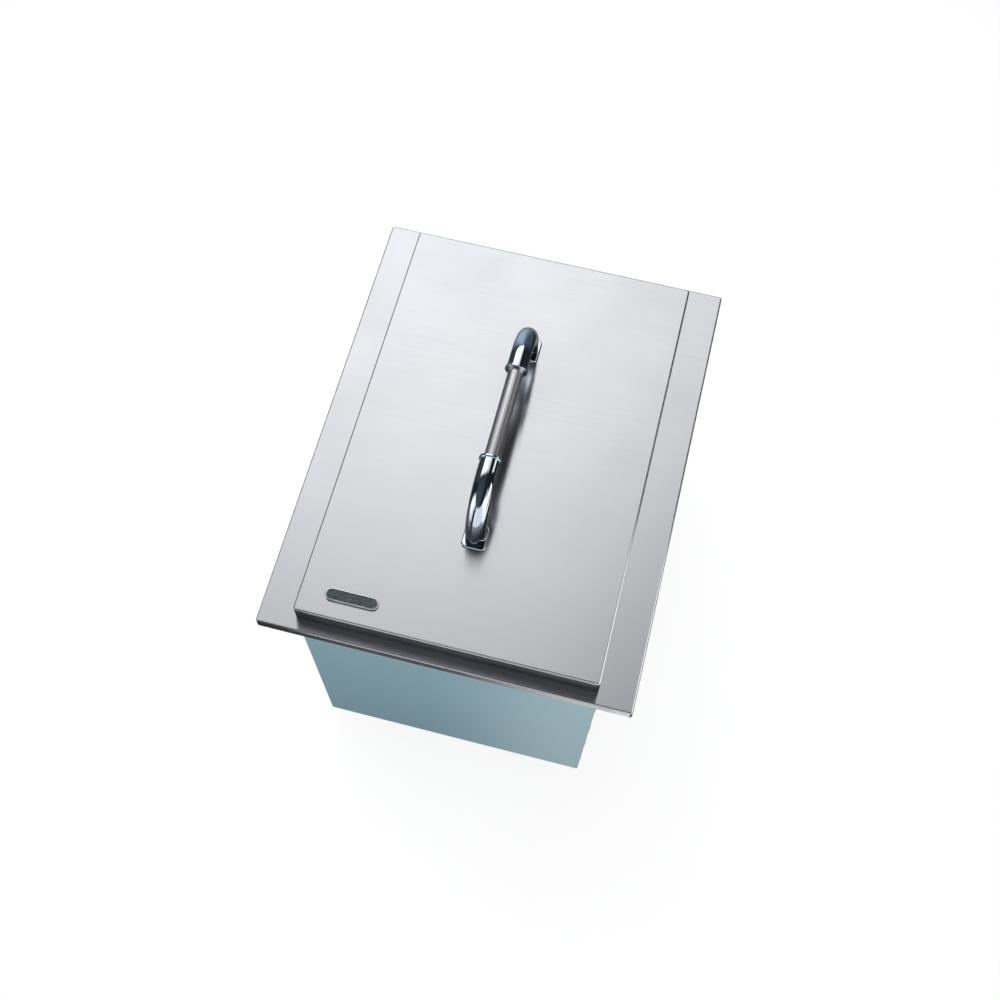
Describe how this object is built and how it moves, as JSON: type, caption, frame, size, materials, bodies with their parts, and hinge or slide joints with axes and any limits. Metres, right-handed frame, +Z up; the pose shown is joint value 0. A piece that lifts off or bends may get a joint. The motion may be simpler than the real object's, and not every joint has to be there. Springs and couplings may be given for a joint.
{
  "type": "drop-in ice bin",
  "caption": "Insulated metal tub that hangs in a worktop cut-out by its flange, with a floor drain and a lift-off insulated lid with a bent-tube handle.",
  "frame": {"origin": "centre of the worktop cut-out, on the worktop's surface, where the edge of the flange's lip rests", "axes": "+X across the bin's width to its right side, +Y to the back along its length, +Z up"},
  "size_m": [0.47, 0.603, 0.5824],
  "materials": {
    "brushed_sheet": "stainless sheet with a fine brushed grain across the bin's width",
    "satin_sheet": "plain satin stainless sheet, welded",
    "casing_paint": "smooth blue-green coated sheet, low gloss",
    "rivet_metal": "plain domed rivet",
    "foam": "closed-cell foam slab",
    "drain_chrome": "bright plated casting",
    "drain_brass": "plain turned brass",
    "fibre_washer": "pressed fibre",
    "black_rubber": "matt moulded rubber",
    "strainer_steel": "satin perforated sheet",
    "satin_tube": "satin tube with fine lengthwise lines",
    "handle_chrome": "bright chrome plate",
    "zinc_steel": "dull zinc-plated steel",
    "badge_rim": "bright raised rim",
    "badge_field": "plain dark inlay with nothing on it"
  },
  "bodies": {
    "bin": {"top_flange": "brushed_sheet", "liner_tub": "satin_sheet", "casing_front_panel": "casing_paint", "casing_back_panel": "casing_paint", "casing_left_panel": "casing_paint", "casing_right_panel": "casing_paint", "casing_bottom_pan": "casing_paint", "casing_rivets": "rivet_metal", "insulation_front": "foam", "insulation_back": "foam", "insulation_left": "foam", "insulation_right": "foam", "insulation_base": "foam", "drain_body": "drain_chrome", "drain_locknut": "drain_brass", "drain_slip_washer": "fibre_washer", "drain_gasket": "black_rubber", "drain_grommet": "black_rubber"},
    "strainer": {"drain_strainer": "strainer_steel"},
    "lid": {"lid_outer_pan": "brushed_sheet", "lid_inner_pan": "satin_sheet", "lid_foam_core": "foam", "lid_gasket": "black_rubber", "handle_grip_tube": "satin_tube", "handle_front_elbow": "handle_chrome", "handle_rear_elbow": "handle_chrome", "handle_front_foot_plate": "handle_chrome", "handle_rear_foot_plate": "handle_chrome", "handle_front_backing_plate": "zinc_steel", "handle_rear_backing_plate": "zinc_steel", "handle_washers": "zinc_steel", "handle_screws": "zinc_steel", "badge_plate": "badge_rim", "badge_inlay": "badge_field"}
  },
  "joints": [
    {"name": "lid_lift", "type": "slide", "parent": "bin", "child": "lid", "axis": [0, 0, 1], "range_m": [0, 0.3]},
    {"name": "strainer_lift", "type": "slide", "parent": "bin", "child": "strainer", "axis": [0, 0, 1], "range_m": [0, 0.06]}
  ]
}
